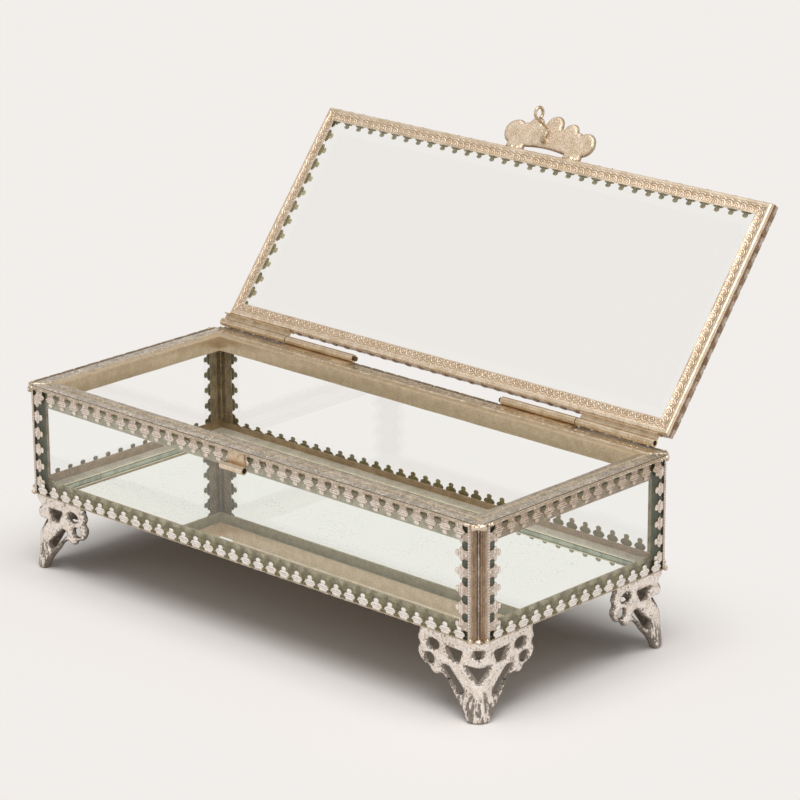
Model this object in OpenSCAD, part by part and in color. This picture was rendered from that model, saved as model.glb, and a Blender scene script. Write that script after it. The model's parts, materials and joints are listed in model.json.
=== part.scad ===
// A small glass casket on four cast feet. Clear panes stand in folded brass lace
// strip, a mirror forms the floor, and a bevelled glass lid turns on two tube hinges.
// The lid is drawn leaning open on its hinges, which is the pose at rest.

/* [Box] */
// Width over the rails
box_w = 203; // [170:1:240]
// Depth over the rails
box_d = 90.5; // [80:0.5:110]
// Height of the glazed sides, over both rails
side_h = 37.2; // [32:0.2:50]
// Thickness of the side panes
glass_t = 2.8; // [2:0.1:3]
// Thickness of the brass strip
sheet = 0.4; // [0.3:0.05:0.5]
// Thickness of the mirror that forms the floor
mirror_t = 1.8; // [1.5:0.1:2.5]

/* [Rails] */
// Width of the flat of the rails
rail_w = 9; // [8:0.1:10]
// Depth of the inner lip that hangs from the upper rails
upper_lip = 5.4; // [4:0.1:7]
// Width of the lip that folds flat over the edge of the mirror
lower_lip = 4.6; // [3:0.1:6]
// Depth of the leg behind the panes, under the upper rails
upper_leg = 7; // [5:0.1:8]
// Height of the leg behind the panes, on the lower rails
lower_leg = 5.1; // [4:0.1:6]
// Width of the inner lip of the upright stiles
stile_lip = 5; // [4:0.1:6]
// Radius of the bead line on the upper rails
bead_r = 0.35; // [0.2:0.05:0.4]
// Distance of the bead line from the outer face
bead_in = 6; // [5:0.1:7]

/* [Lace] */
// Distance from leaf to leaf
leaf_pitch = 5.65; // [5.4:0.05:6.2]
// Reach of the leaves below the upper fold
upper_reach = 5.3; // [4.8:0.1:6]
// Reach of the leaves above the lower fold
lower_reach = 4.2; // [3.8:0.1:5]
// Reach of the leaves beside the stiles
stile_reach = 6.2; // [5.4:0.1:7]
// Reach of the leaves on the lid
lid_reach = 5.9; // [5.2:0.1:6.5]

/* [Lid] */
// Width of the lid
lid_w = 195; // [160:0.5:232]
// Depth of the lid, without its thumb piece
lid_d = 81.8; // [72:0.1:102]
// Thickness of the lid's frame
lid_t = 3.8; // [3.6:0.1:4.4]
// Width of the frame on the lid's underside
lid_lip = 4.7; // [4:0.1:5.5]
// Distance of the lid's back edge from the back of the box
lid_back = 4.05; // [3.6:0.05:5]
// Clear space between the bead line and the closed lid
seat_gap = 0.15; // [0.1:0.05:0.3]
// Width of the bevel round the lid's glass
bevel_w = 8; // [5:0.5:12]
// Thickness that the bevel takes off the edge of the glass
bevel_drop = 1.2; // [0.6:0.1:1.6]
// How far the lid leans open, from closed
lid_open = 128.4; // [90:0.1:135]

/* [Hinges and catch] */
// Outer radius of the hinge and catch tubes
tube_r = 1.3; // [1.2:0.05:1.5]
// Radius of the hinge pins
pin_r = 0.8; // [0.6:0.05:0.9]
// Running clearance round the pins, on the radius
pin_play = 0.06; // [0.04:0.01:0.08]
// Length of each hinge knuckle
knuckle_l = 31.5; // [20:0.5:34]
// Gap between two knuckles
knuckle_gap = 0.3; // [0.2:0.05:0.5]
// Where the left hinge's knuckles meet
left_joint = -67.8; // [-75:0.1:-60]
// Where the right hinge's knuckles meet
right_joint = 62; // [55:0.1:75]
// Thickness of the hinge leaves
leaf_t = 0.38; // [0.3:0.02:0.5]
// Length of the catch tube
catch_l = 10; // [8:0.5:14]
// Depth of the catch tube's centre below the upper rail
catch_drop = 4.85; // [4:0.05:6]
// Radius of the hook's wire
wire_r = 0.55; // [0.4:0.05:0.7]

/* [Thumb piece] */
// Height of the crest above the lid's front edge
crest_h = 14.4; // [12:0.1:16]
// Thickness of the casting
crest_t = 2; // [1.5:0.1:2.4]

/* [Feet] */
// Height of the feet
foot_h = 26.5; // [22:0.5:30]
// Thickness of the feet's walls
foot_t = 3; // [2:0.1:4]
// How far the feet stand in from the outer faces
foot_in = 3.4; // [2.5:0.1:4]

/* [Hidden] */

$fn = 32;
far = 400;                               // longer than any cut
solder = 0.1;                            // how far soldered pieces run into each other
tube_over = 0.55;                        // how far the hinge tubes stand out behind the box
notch = glass_t + 3 * sheet;             // depth of the side panels, and of the open corners
front_run = box_w - 2 * notch;           // length of the front and back panels
side_run = box_d - 2 * notch;            // length of the left and right panels
box_top = foot_h + side_h;
seat_z = box_top + bead_r + seat_gap;    // underside of the closed lid
axis_y = box_d / 2 - tube_r + tube_over; // hinge axis
axis_z = box_top + leaf_t + tube_r;
lid_back_y = box_d / 2 - lid_back;
lid_front_y = lid_back_y - lid_d;
catch_y = -box_d / 2 - sheet - tube_r;
catch_z = box_top - catch_drop;

// One leaf of the lace, as distances from its tip: a round finger, two side lobes
// and a neck that runs into the round hole beside it.
finger_r = 0.78;
lobe_r = 0.72;
lobe_x = 1.3;
lobe_at = 2.35;
neck_x = 1.38;
neck_at = 3.9;
hole_r = leaf_pitch / 2 - neck_x;

// The feet, looked at square on from the corner: half widths and heights.
toe_x = 3.1;
toe_r = 3.2;
toe_pad = 1.4;
toe_in = 8.2;
core_r = 3.4;
core_in = 9;
core_h = 12;
wing_l = 28;

// The open lid's crest reaches furthest back, the catch tube furthest forward. The
// origin lies midway between them, on the surface that the feet stand on.
crest_back = [lid_front_y - crest_h - axis_y, seat_z + (lid_t + crest_t) / 2 - axis_z];
reach_back = axis_y + crest_back[0] * cos(lid_open) + crest_back[1] * sin(lid_open);
reach_front = box_d / 2 + sheet + 2 * tube_r;
origin_y = (reach_back - reach_front) / 2;

function arc(c, r, from, to, n) =
  [for (i = [0:n]) let (a = from + (to - from) * i / n) c + r * [cos(a), sin(a)]];

// Right half of a leaf from its tip to the middle of the hole beside it.
function half_leaf() = concat(
  arc([0, finger_r], finger_r, -90, 0, 3),
  arc([lobe_x, lobe_at], lobe_r, -100, 50, 4),
  arc([leaf_pitch / 2, neck_at], hole_r, 180, 90, 3));

// Points of one leaf from left to right, cut off at the strip's root.
function leaf(x, reach, root) = let (h = half_leaf(), n = len(h) - 1) concat(
  [for (i = [n:-1:0]) [x - h[i][0], max(reach - h[i][1], root)]],
  [for (i = [0:n]) [x + h[i][0], max(reach - h[i][1], root)]]);

// A flat comb of leaves that stands on the X axis, centred.
module lace(run, reach) {
  n = floor(run / leaf_pitch);
  root = max(sheet, reach - neck_at - hole_r);
  polygon(concat(
    [[-run / 2, 0], [-run / 2, root]],
    [for (i = [0:n - 1]) each leaf((i - (n - 1) / 2) * leaf_pitch, reach, root)],
    [[run / 2, root], [run / 2, 0]]));
}

// Lace that stands up from, or hangs down from, a fold along the front face.
module lace_up(run, reach)
  translate([0, sheet, 0]) rotate([90, 0, 0]) linear_extrude(sheet) lace(run, reach);

module lace_down(run, reach)
  rotate([-90, 0, 0]) linear_extrude(sheet) lace(run, reach);

// Each side is drawn along X with its outer face on y = 0 and its inside towards +Y.
module frame_at() translate([0, -origin_y, 0]) children();
module front_side() frame_at() translate([0, -box_d / 2, foot_h]) children();
module back_side() frame_at() rotate(180) translate([0, -box_d / 2, foot_h]) children();
module right_side() frame_at() rotate(90) translate([0, -box_w / 2, foot_h]) children();
module left_side() frame_at() rotate(-90) translate([0, -box_w / 2, foot_h]) children();

// Everything outside the 45 degree cut that joins two rails at each end.
module mitre_cuts(run, depth)
  for (s = [-1, 1])
    translate([s * run / 2, depth, 0]) rotate(s * 45)
      translate([s > 0 ? 0 : -far, -far / 2, -far / 2]) cube([far, far, far]);

// The corners of the upper rails are cut across, and closed by a short plate.
plate_h = 2;
module corner_cuts(run)
  for (s = [-1, 1])
    translate([s * (run / 2 - notch), 0, 0]) rotate(-s * 45)
      translate([s > 0 ? 0 : -far, -far / 2, -far / 2]) cube([far, far, far]);

// The flat of an upper rail carries two legs: one that holds the pane, one plain lip inside.
module upper_rail(run, plates) color("#b9a58c") {
  difference() {
    union() {
      translate([-run / 2, 0, -sheet]) cube([run, rail_w, sheet]);
      translate([-run / 2, rail_w - sheet, -upper_lip]) cube([run, sheet, upper_lip]);
      translate([-run / 2, notch, -upper_leg]) cube([run, sheet, upper_leg]);
      translate([0, bead_in, 0]) rotate([0, 90, 0]) cylinder(r = bead_r, h = run, center = true);
    }
    mitre_cuts(run, 0);
    corner_cuts(run);
  }
  lace_down(run - 2 * notch, upper_reach);
  if (plates)
    for (s = [-1, 1])
      translate([s * (run / 2 - notch), 0, -plate_h]) rotate(s * 45)
        translate([s > 0 ? 0 : -notch * sqrt(2), 0, 0]) cube([notch * sqrt(2), sheet, plate_h]);
}

// A lower rail holds the pane in front of its leg, and the mirror between flat and lip.
module floor_rail(run) color("#b9a58c") {
  difference() {
    union() {
      translate([-run / 2, 0, 0]) cube([run, rail_w, sheet]);
      translate([-run / 2, notch, 0]) cube([run, sheet, lower_leg]);
      translate([-run / 2, notch, sheet + mirror_t]) cube([run, sheet + lower_lip, sheet]);
    }
    mitre_cuts(run, 0);
    for (s = [-1, 1])
      translate([s * run / 2 - notch, -notch, -1]) cube([2 * notch, 2 * notch, 2]);
  }
  lace_up(run - 2 * notch, lower_reach);
}

// A channel round the upright edge of a pane: web, lace outside, plain lip inside.
seam_r = 0.7;
module stile(run, seam) color("#b9a58c") {
  inner_h = side_h - 2 * sheet;
  translate([run / 2 - sheet, sheet, sheet]) cube([sheet, notch - sheet, inner_h]);
  translate([run / 2 - stile_lip, notch - sheet, sheet]) cube([stile_lip, sheet, inner_h]);
  translate([run / 2, 2 * sheet, side_h / 2]) rotate([90, 0, 0]) rotate(90)
    linear_extrude(sheet) lace(inner_h, stile_reach);
  if (seam)
    intersection() {
      translate([run / 2, notch, sheet]) cylinder(r = seam_r, h = inner_h);
      translate([run / 2, 0, 0]) cube([notch, notch, side_h]);
    }
}

module pane(run) color("#dfe9e4", 0.35)
  translate([-run / 2 + sheet, 2 * sheet, sheet])
    cube([run - 2 * sheet, glass_t, side_h - 2 * sheet]);

module front_glass() front_side() pane(front_run);
module back_glass() back_side() pane(front_run);
module left_glass() left_side() pane(side_run);
module right_glass() right_side() pane(side_run);

module front_top_rail() front_side() translate([0, 0, side_h]) upper_rail(box_w, true);
module back_top_rail() back_side() translate([0, 0, side_h]) upper_rail(box_w, true);
module left_top_rail() left_side() translate([0, 0, side_h]) upper_rail(box_d, false);
module right_top_rail() right_side() translate([0, 0, side_h]) upper_rail(box_d, false);

module front_floor_rail() front_side() floor_rail(box_w);
module back_floor_rail() back_side() floor_rail(box_w);
module left_floor_rail() left_side() floor_rail(box_d);
module right_floor_rail() right_side() floor_rail(box_d);

module front_right_stile() front_side() stile(front_run, true);
module front_left_stile() front_side() mirror([1, 0, 0]) stile(front_run, true);
module back_left_stile() back_side() stile(front_run, true);
module back_right_stile() back_side() mirror([1, 0, 0]) stile(front_run, true);
module right_back_stile() right_side() stile(side_run, false);
module right_front_stile() right_side() mirror([1, 0, 0]) stile(side_run, false);
module left_front_stile() left_side() stile(side_run, false);
module left_back_stile() left_side() mirror([1, 0, 0]) stile(side_run, false);

// The mirror lies on the flats of the lower rails, between their legs and under their lips.
mirror_in = notch + sheet;
module floor_mirror() color("#e9efec") frame_at()
  translate([-box_w / 2 + mirror_in, -box_d / 2 + mirror_in, foot_h + sheet])
    cube([box_w - 2 * mirror_in, box_d - 2 * mirror_in, mirror_t]);

// Thin plate under the mirror, soldered beneath the flats of the lower rails.
backing_t = 0.5;
backing_in = rail_w - 2;
module backing_plate() color("#a08c70") frame_at()
  translate([-box_w / 2 + backing_in, -box_d / 2 + backing_in, foot_h - backing_t])
    cube([box_w - 2 * backing_in, box_d - 2 * backing_in, backing_t]);

// A straight round-ended stroke of a flat casting.
module stroke(p, q, w) {
  d = q - p;
  translate(p) circle(d = w);
  translate(q) circle(d = w);
  translate(p) rotate(atan2(d[1], d[0])) translate([0, -w / 2]) square([norm(d), w]);
}

// Face of a foot, square on to the corner: scrolled wings that run down into one leg.
module foot_face() {
  difference() {
    union() {
      polygon([[-toe_x, 0], [-4.4, 3.6], [-6.8, 7.1], [-9.6, 12.3], [-15, 14.6], [-18, 20],
        [-17, foot_h], [17, foot_h], [18, 20], [15, 14.6], [9.6, 12.3], [6.8, 7.1], [4.4, 3.6],
        [toe_x, 0]]);
      for (s = [-1, 1]) {
        translate([s * 15.4, 18.2]) circle(r = 3.6);
        translate([s * 15.2, 22.6]) circle(r = 3.6);
        translate([s * 12.6, 14.4]) circle(r = 2.4);
      }
    }
    translate([0, foot_h - 4]) circle(r = 1.2);
    polygon([[-3.8, 18], [3.8, 18], [0, 12.6]]);
    for (s = [-1, 1]) {
      translate([s * 13.6, 21.7]) circle(r = 1.8);
      translate([s * 14.2, 17]) circle(r = 1.5);
      polygon([[s * 5.6, 22], [s * 9.8, 22], [s * 8.6, 17.6]]);
      stroke([s * 8.6, 14.3], [s * 5, 9.4], 1.7);
    }
  }
}

// A foot under the corner whose walls run towards +X and +Y.
module foot() color("#d3c2b4") {
  intersection() {
    union() {
      translate([foot_in, foot_in, 0]) cube([wing_l, foot_t, foot_h]);
      translate([foot_in, foot_in, 0]) cube([foot_t, wing_l, foot_h]);
      translate([core_in, core_in, 0] / sqrt(2)) cylinder(r = core_r, h = core_h);
    }
    rotate(-45) translate([0, far / 2, 0]) rotate([90, 0, 0]) linear_extrude(far) foot_face();
  }
  translate([toe_in, toe_in, 0] / sqrt(2)) cylinder(r = toe_r, h = toe_pad);
}

module foot_front_left() frame_at() translate([-box_w / 2, -box_d / 2, 0]) foot();
module foot_front_right() frame_at() translate([box_w / 2, -box_d / 2, 0]) rotate(90) foot();
module foot_back_right() frame_at() translate([box_w / 2, box_d / 2, 0]) rotate(180) foot();
module foot_back_left() frame_at() translate([-box_w / 2, box_d / 2, 0]) rotate(-90) foot();

// The catch: a short tube across the front, on a tab that comes down from the fold.
module catch_tab() color("#c3ae92") frame_at()
  translate([0, -box_d / 2, box_top]) rotate([90, 0, 0]) linear_extrude(sheet)
    polygon([[-3, 0], [3.6, 0], [4.2, -catch_drop], [-4.6, -catch_drop]]);

module catch_tube() color("#c9b59a") frame_at()
  translate([-catch_l / 2, catch_y, catch_z]) rotate([0, 90, 0])
    difference() {
      cylinder(r = tube_r, h = catch_l);
      translate([0, 0, -1]) cylinder(r = tube_r - sheet, h = catch_l + 2);
    }

// A hinge tube along +X from the axis point, with a bore for the pin.
module knuckle(bore)
  rotate([0, 90, 0])
    difference() {
      cylinder(r = tube_r, h = knuckle_l);
      translate([0, 0, -1]) cylinder(r = bore, h = knuckle_l + 2);
    }

module at_axis(x) frame_at() translate([x, axis_y, axis_z]) children();

// A leaf runs just into the wall of its tube, and stays clear of the bore.
module joined_leaf()
  difference() {
    children();
    translate([-1, 0, 0]) rotate([0, 90, 0]) cylinder(r = tube_r - solder, h = knuckle_l + 2);
  }

// The box's knuckle sits on a leaf that is soldered to the flat of the back rail.
module box_knuckle() color("#c3ae92") {
  knuckle(pin_r);
  joined_leaf() translate([0, -tube_r - 1, -tube_r - leaf_t])
    cube([knuckle_l, 2 * tube_r, leaf_t + solder]);
}

// The lid's knuckle is joined to the back of the lid's frame by an L-shaped leaf.
arm_up = 1.4;
flange_up = 0.2;
flange_h = 3;
module lid_knuckle() color("#c3ae92") {
  back = lid_back_y - axis_y;
  foot_z = seat_z - axis_z;
  knuckle(pin_r + pin_play);
  joined_leaf() {
    translate([0, back, foot_z + arm_up]) cube([knuckle_l, -back - tube_r / 2, leaf_t]);
    translate([0, back, foot_z + flange_up]) cube([knuckle_l, leaf_t, flange_h]);
  }
}

left_box_x = left_joint + knuckle_gap / 2;
left_lid_x = left_joint - knuckle_gap / 2 - knuckle_l;
right_box_x = right_joint - knuckle_gap / 2 - knuckle_l;
right_lid_x = right_joint + knuckle_gap / 2;

module left_box_knuckle() at_axis(left_box_x) box_knuckle();
module right_box_knuckle() at_axis(right_box_x) box_knuckle();

// A pin is tight in the box's knuckle, where its end stands out, and loose in the lid's.
pin_out = 1;
pin_short = 2;
pin_l = 2 * knuckle_l + knuckle_gap + pin_out - pin_short;
module hinge_pin(x) color("#8d7a5f") at_axis(x) rotate([0, 90, 0])
  cylinder(r = pin_r, h = pin_l);
module left_hinge_pin() hinge_pin(left_lid_x + pin_short);
module right_hinge_pin() hinge_pin(right_box_x - pin_out);

// The lid's pieces are drawn closed and leaned back about the hinge axis.
module lid_pose() frame_at() translate([0, axis_y, axis_z]) rotate([-lid_open, 0, 0])
  translate([0, -axis_y, -axis_z]) children();

module left_lid_knuckle() lid_pose() translate([left_lid_x, axis_y, axis_z]) lid_knuckle();
module right_lid_knuckle() lid_pose() translate([right_lid_x, axis_y, axis_z]) lid_knuckle();

// A lid rail along X with its outer edge on y = 0: lip below, lace above.
module lid_rail(run) color("#c0ab90") difference() {
  union() {
    translate([-run / 2, 0, 0]) cube([run, lid_lip, sheet]);
    translate([-run / 2, 0, 0]) cube([run, sheet, lid_t]);
    translate([0, 0, lid_t - sheet]) linear_extrude(sheet) lace(run, lid_reach);
  }
  mitre_cuts(run, 0);
}

lid_mid_y = (lid_back_y + lid_front_y) / 2;
module lid_side(angle, half) lid_pose() translate([0, lid_mid_y, seat_z]) rotate(angle)
  translate([0, -half, 0]) children();

module lid_front_rail() lid_side(0, lid_d / 2) lid_rail(lid_w);
module lid_back_rail() lid_side(180, lid_d / 2) lid_rail(lid_w);
module lid_right_rail() lid_side(90, lid_w / 2) lid_rail(lid_d);
module lid_left_rail() lid_side(-90, lid_w / 2) lid_rail(lid_d);

// Section of the lid's glass across one width: flat below, bevelled above.
module bevel_section(w, t)
  polygon([[-w / 2, 0], [w / 2, 0], [w / 2, t - bevel_drop], [w / 2 - bevel_w, t],
    [-w / 2 + bevel_w, t], [-w / 2, t - bevel_drop]]);

module lid_glass() color("#dfe9e4", 0.35) {
  w = lid_w - 2 * sheet;
  d = lid_d - 2 * sheet;
  t = lid_t - 2 * sheet;
  lid_pose() translate([0, lid_mid_y, seat_z + sheet]) intersection() {
    translate([0, d / 2, 0]) rotate([90, 0, 0]) linear_extrude(d) bevel_section(w, t);
    translate([-w / 2, 0, 0]) rotate([90, 0, 90]) linear_extrude(w) bevel_section(d, t);
  }
}

// The thumb piece: a cast crest of lobes on two short legs, in the plane of the lid.
gap_r = 50;
gap_h = 2.1;
slot_h = 1.2;
leg_x = 12.5;
leg_w = 7.6;
leg_h = 3;
module crest()
  difference() {
    union() {
      polygon([[-15.5, 1.5], [15.5, 1.5], [17.5, 5], [12, 10.2], [-12, 10.2], [-17.5, 5]]);
      translate([0, crest_h - 3.6]) circle(r = 3.6);
      for (s = [-1, 1]) {
        translate([s * 7.6, crest_h - 4.7]) circle(r = 3.1);
        translate([s * 15.2, crest_h - 8.2]) circle(r = 4.4);
      }
    }
    translate([leg_w / 2 - leg_x, -1]) square([2 * leg_x - leg_w, slot_h + 1]);
    translate([0, gap_h - gap_r]) circle(r = gap_r, $fn = 96);
  }

module thumb_piece() color("#c9b59a") lid_pose()
  translate([0, lid_front_y, seat_z + (lid_t - crest_t) / 2]) mirror([0, 1, 0])
    linear_extrude(crest_t) union() {
      crest();
      for (s = [-1, 1]) translate([s * leg_x - leg_w / 2, 0]) square([leg_w, leg_h]);
    }

// The hook: a wire soldered under the crest, bent down past the catch tube to a curl.
hook_x = -1;
hook_from = 3.6;
hook_out = 8.9;
hook_drop = 7.5;
bend_r = 1.2;
curl_r = 1.9;
curl_turn = 300;
solder_r = 1.1;
solder_t = 1.3;

module bent_wire(r, turn) rotate_extrude(angle = turn) translate([r, 0]) circle(r = wire_r);

module hook_wire() color("#b39d80") lid_pose()
  translate([hook_x, lid_front_y, seat_z + (lid_t - crest_t) / 2 - solder_t / 2]) {
    translate([0, -hook_from, 0]) rotate([90, 0, 0])
      cylinder(r = wire_r, h = hook_out - bend_r - hook_from);
    translate([0, -hook_from - 1, -solder_t / 2]) cylinder(r = solder_r, h = solder_t);
    translate([0, -hook_out + bend_r, -bend_r]) rotate([0, -90, 0]) rotate(-90)
      bent_wire(bend_r, 90);
    translate([0, -hook_out, -hook_drop]) cylinder(r = wire_r, h = hook_drop - bend_r);
    translate([0, -hook_out - curl_r, -hook_drop]) rotate([0, -90, 0]) rotate(90)
      bent_wire(curl_r, curl_turn);
  }

front_glass();
back_glass();
left_glass();
right_glass();
floor_mirror();
backing_plate();
front_top_rail();
back_top_rail();
left_top_rail();
right_top_rail();
front_floor_rail();
back_floor_rail();
left_floor_rail();
right_floor_rail();
front_left_stile();
front_right_stile();
back_left_stile();
back_right_stile();
left_front_stile();
left_back_stile();
right_front_stile();
right_back_stile();
foot_front_left();
foot_front_right();
foot_back_left();
foot_back_right();
catch_tab();
catch_tube();
left_box_knuckle();
right_box_knuckle();
left_hinge_pin();
right_hinge_pin();
lid_glass();
lid_front_rail();
lid_back_rail();
lid_left_rail();
lid_right_rail();
left_lid_knuckle();
right_lid_knuckle();
thumb_piece();
hook_wire();
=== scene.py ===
"""A small glass casket with a leaning lid, made up as its maker puts it together."""
import json
import math

import bmesh
import bpy
import numpy as np
from mathutils import Matrix, Vector


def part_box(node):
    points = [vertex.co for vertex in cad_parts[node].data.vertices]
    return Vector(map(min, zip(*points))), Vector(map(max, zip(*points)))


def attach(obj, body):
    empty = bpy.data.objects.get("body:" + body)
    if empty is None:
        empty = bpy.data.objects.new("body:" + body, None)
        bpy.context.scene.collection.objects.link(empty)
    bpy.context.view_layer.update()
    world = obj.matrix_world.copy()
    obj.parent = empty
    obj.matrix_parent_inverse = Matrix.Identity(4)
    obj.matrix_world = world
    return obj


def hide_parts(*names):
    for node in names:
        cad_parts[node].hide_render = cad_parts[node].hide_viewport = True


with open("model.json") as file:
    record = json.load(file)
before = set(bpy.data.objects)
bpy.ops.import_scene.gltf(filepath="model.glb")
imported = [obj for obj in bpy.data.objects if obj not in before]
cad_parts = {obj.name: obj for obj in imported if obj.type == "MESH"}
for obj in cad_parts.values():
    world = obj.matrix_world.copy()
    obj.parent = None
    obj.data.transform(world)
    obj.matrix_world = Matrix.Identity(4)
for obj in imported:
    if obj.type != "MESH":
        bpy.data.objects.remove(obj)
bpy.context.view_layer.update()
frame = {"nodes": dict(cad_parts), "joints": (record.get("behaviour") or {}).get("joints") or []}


# The bench: a pale sheet that the box stands on, lit from a wide soft lamp overhead,
# with even light all round. None of it belongs to the box.

def colour(code):
    """A colour written as on a paint card, turned to the light it stands for."""
    steps = [int(code[i:i + 2], 16) / 255 for i in (0, 2, 4)]
    return tuple(s / 12.92 if s < 0.04 else ((s + 0.055) / 1.055) ** 2.4 for s in steps) + (1,)


def add(tree, kind, inputs=(), **settings):
    """Adds a node with its settings. Each input is a value, or a socket to join to it."""
    made = tree.nodes.new(kind)
    for key, value in settings.items():
        setattr(made, key, value)
    for key, value in dict(inputs).items():
        if isinstance(value, bpy.types.NodeSocket):
            tree.links.new(value, made.inputs[key])
        else:
            made.inputs[key].default_value = value
    return made


def sum_up(tree, operation, first, second=0.0):
    """One step of arithmetic."""
    return add(tree, "ShaderNodeMath", {0: first, 1: second}, operation=operation).outputs[0]


def blended(tree, share, first, second):
    """The first colour turning into the second as the share goes from 0 to 1."""
    return add(tree, "ShaderNodeMix", {0: share, 6: first, 7: second},
               data_type="RGBA").outputs[2]


def between(tree, value, low, high, start=0.0, end=1.0):
    """A soft step from start to end while the value goes from low to high."""
    return add(tree, "ShaderNodeMapRange", {0: value, 1: low, 2: high, 3: start, 4: end},
               interpolation_type="SMOOTHSTEP").outputs[0]


def vector_step(tree, operation, first, second=(0, 0, 0)):
    """One step of arithmetic on a vector."""
    key = 3 if operation == "SCALE" else 1
    return add(tree, "ShaderNodeVectorMath", {0: first, key: second}, operation=operation).outputs[0]


def spots_of(tree, where, scale, detail, rough=0.5):
    """Clouds of uneven grey, such as grain or stains."""
    return add(tree, "ShaderNodeTexNoise", {"Vector": where, "Scale": scale, "Detail": detail,
                                            "Roughness": rough}).outputs[0]


def place_on(tree):
    """Where a point of the piece is, in metres."""
    return add(tree, "ShaderNodeTexCoord").outputs["Object"]


def in_scene(name, data):
    """A new object in the scene."""
    made = bpy.data.objects.new(name, data)
    bpy.context.scene.collection.objects.link(made)
    return made


def new_finish(name):
    """An empty material, its nodes and its output."""
    made = bpy.data.materials.new(name)
    made.use_nodes = True
    made.node_tree.nodes.clear()
    return made, made.node_tree, add(made.node_tree, "ShaderNodeOutputMaterial")


def seen_straight(tree):
    """1 where a surface is looked at, mirrored or seen through glass, 0 where it gives light."""
    path = add(tree, "ShaderNodeLightPath")
    looked = sum_up(tree, "MAXIMUM", path.outputs["Is Camera Ray"], path.outputs["Is Glossy Ray"])
    return sum_up(tree, "MAXIMUM", looked, path.outputs["Is Transmission Ray"])


PAPER = colour("f2eeeb")
WALL_SHADE = colour("b4b0ab")
SKY_FRONT = 0.6
SKY_BACK = 0.06
SKY_TOWARDS = (0.68, -0.73, 0)
LAMP_WATTS = 13.2
LAMP_SIZE = 1.15
LAMP_PLACE = (0.2, -0.3, 1.25)
SHEET_HALF = 6.0
SHADE_MID = (0, -0.035, 0)
SHADE_HALF = (0.085, 0.033, 0)
FADE_TO = 0.08
LENS = 157.39
VIEW_PLACE = (0.74217, -0.78478, 0.41682)
VIEW_TURN = 43.444
VIEW_DOWN = 18.167
VIEW_ROLL = -0.339

sheet_mesh = bpy.data.meshes.new("paper sheet")
sheet_mesh.from_pydata([(x * SHEET_HALF, y * SHEET_HALF, 0) for x, y in
                        ((-1, -1), (1, -1), (1, 1), (-1, 1))], [], [(0, 1, 2, 3)])
sheet_floor = in_scene("paper_sheet", sheet_mesh)
paper, nodes, out = new_finish("pale paper")
where = place_on(nodes)
aside = vector_step(nodes, "ABSOLUTE", vector_step(nodes, "SUBTRACT", where, SHADE_MID))
aside = vector_step(nodes, "MAXIMUM", vector_step(nodes, "SUBTRACT", aside, SHADE_HALF))
away = add(nodes, "ShaderNodeVectorMath", {0: aside}, operation="LENGTH").outputs["Value"]
far_off = sum_up(nodes, "MULTIPLY", between(nodes, away, 0.0, FADE_TO), seen_straight(nodes))
fibres = add(nodes, "ShaderNodeBump", {"Height": spots_of(nodes, where, 900.0, 2.0),
                                       "Strength": 0.03, "Distance": 0.0001})
lit = add(nodes, "ShaderNodeBsdfDiffuse", {"Color": PAPER, "Normal": fibres.outputs[0]})
flat = add(nodes, "ShaderNodeEmission", {"Color": PAPER, "Strength": 1.0})
mixed = add(nodes, "ShaderNodeMixShader", {0: far_off, 1: lit.outputs[0], 2: flat.outputs[0]})
nodes.links.new(mixed.outputs[0], out.inputs[0])
sheet_floor.data.materials.append(paper)

room = bpy.data.worlds.new("room")
bpy.context.scene.world = room
room.use_nodes = True
room.cycles.sampling_method = "NONE"
nodes = room.node_tree
nodes.nodes.clear()
facing = add(nodes, "ShaderNodeTexCoord").outputs["Generated"]
upward = add(nodes, "ShaderNodeSeparateXYZ", {0: facing})
rise = sum_up(nodes, "MULTIPLY", between(nodes, upward.outputs[2], 0.36, 0.55),
              between(nodes, upward.outputs[2], 0.8, 0.68))
walls = blended(nodes, rise, PAPER, WALL_SHADE)
seen = add(nodes, "ShaderNodeBackground", {"Color": walls, "Strength": 1.0})
ahead = add(nodes, "ShaderNodeVectorMath", {0: facing, 1: SKY_TOWARDS}, operation="DOT_PRODUCT")
level = between(nodes, ahead.outputs["Value"], -0.5, 0.5, SKY_BACK, SKY_FRONT)
given = add(nodes, "ShaderNodeBackground", {"Color": (1, 0.985, 0.965, 1), "Strength": level})
both = add(nodes, "ShaderNodeMixShader",
           {0: seen_straight(nodes), 1: given.outputs[0], 2: seen.outputs[0]})
add(nodes, "ShaderNodeOutputWorld", {0: both.outputs[0]})

lamp = bpy.data.lights.new("overhead lamp", "AREA")
lamp.shape = "DISK"
lamp.size = LAMP_SIZE
lamp.energy = LAMP_WATTS
lamp.color = (1, 0.997, 0.99)
in_scene("overhead_lamp", lamp).location = LAMP_PLACE

view_from = bpy.data.cameras.new("viewpoint")
view_from.lens = LENS
view_from.sensor_width = 36
view_from.clip_start = 0.05
view_from.clip_end = 30
viewpoint = in_scene("viewpoint", view_from)
viewpoint.matrix_world = (Matrix.Translation(VIEW_PLACE)
                          @ Matrix.Rotation(math.radians(VIEW_TURN), 4, "Z")
                          @ Matrix.Rotation(math.radians(90 - VIEW_DOWN), 4, "X")
                          @ Matrix.Rotation(math.radians(VIEW_ROLL), 4, "Z"))
bpy.context.scene.camera = viewpoint
bpy.context.scene.view_settings.view_transform = "Standard"


# The side panes: clear window glass, faintly green in its thickness, cut square and
# held all round in the folded strip.

GLASS_SOAK = 4.0
GLASS_BODY = (0.45, 0.88, 0.62, 1)

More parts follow.
